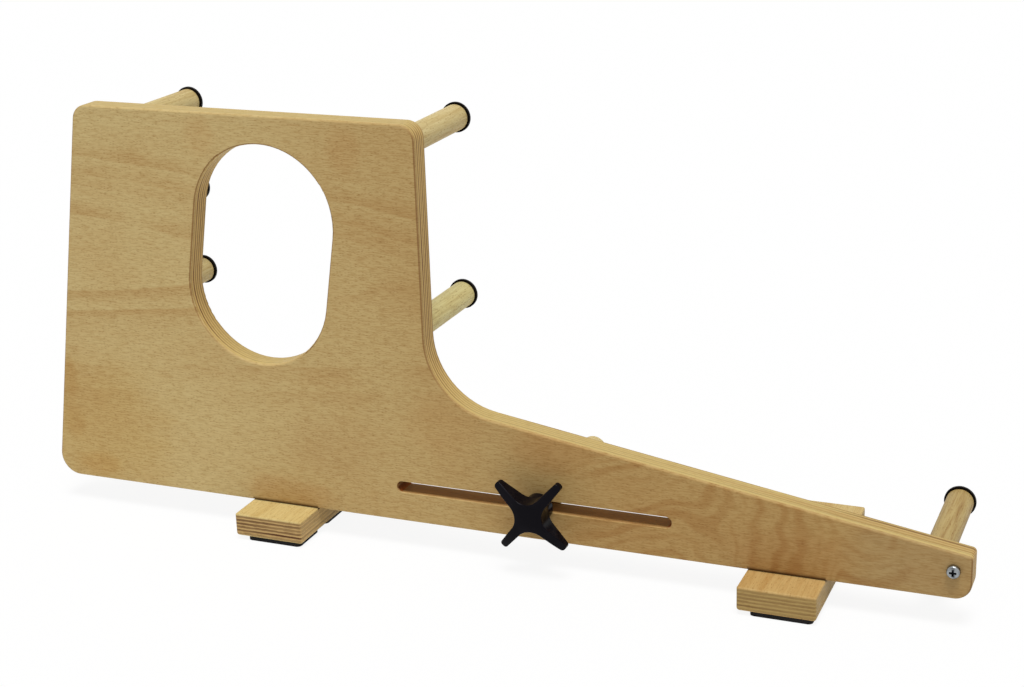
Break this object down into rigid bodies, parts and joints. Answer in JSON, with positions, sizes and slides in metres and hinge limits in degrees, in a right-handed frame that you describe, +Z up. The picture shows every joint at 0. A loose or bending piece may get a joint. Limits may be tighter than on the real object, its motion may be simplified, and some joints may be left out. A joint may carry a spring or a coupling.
{
  "type": "table-top band loom",
  "caption": "Upright plywood inkle loom for weaving bands: an open-armed panel on cross feet, capped dowel pegs on one side, and a sliding tension peg clamped by a knob in a slot.",
  "frame": {"origin": "on the table under the middle of the loom's overall box", "axes": "+X along the panel towards the arm's tip, +Y from the plain front face to the peg side, +Z up"},
  "size_m": [0.7172, 0.156, 0.321],
  "materials": {
    "plywood": "beech plywood, clear satin varnish",
    "dowel": "sanded beech dowel, clear finish",
    "cap_plastic": "black moulded plastic",
    "knob_plastic": "black satin moulded plastic",
    "pad_rubber": "black sheet rubber",
    "zinc_steel": "zinc-plated steel",
    "brass": "turned brass"
  },
  "bodies": {
    "frame": {"panel": "plywood", "left_foot": "plywood", "right_foot": "plywood", "foot_screws": "zinc_steel", "tip_screw": "zinc_steel", "top_left_peg": "dowel", "top_left_cap": "cap_plastic", "upper_left_peg": "dowel", "upper_left_cap": "cap_plastic", "lower_left_peg": "dowel", "lower_left_cap": "cap_plastic", "top_right_peg": "dowel", "top_right_cap": "cap_plastic", "heddle_peg": "dowel", "heddle_cap": "cap_plastic", "tip_peg": "dowel", "tip_cap": "cap_plastic", "left_front_pad": "pad_rubber", "left_rear_pad": "pad_rubber", "right_front_pad": "pad_rubber", "right_rear_pad": "pad_rubber"},
    "tensioner": {"tension_peg": "dowel", "tension_stud": "zinc_steel"},
    "washer": {"clamp_washer": "zinc_steel"},
    "knob": {"clamp_knob": "knob_plastic", "knob_insert": "brass"}
  },
  "joints": [
    {"name": "tension_slide", "type": "slide", "parent": "frame", "child": "tensioner", "axis": [1, 0, 0], "range_m": [-0.1092, 0.0944]},
    {"name": "clamp_release", "type": "slide", "parent": "tensioner", "child": "washer", "axis": [0, -1, 0], "range_m": [0, 0.00219]},
    {"name": "knob_turn", "type": "hinge", "parent": "washer", "child": "knob", "pos_m": [0.05108, -0.0624, 0.0482], "axis": [0, -1, 0], "range_deg": [0, 630]}
  ],
  "couplings": [
    {"joint": "knob_turn", "follows": "clamp_release", "rad_per_m": 5026.5}
  ]
}
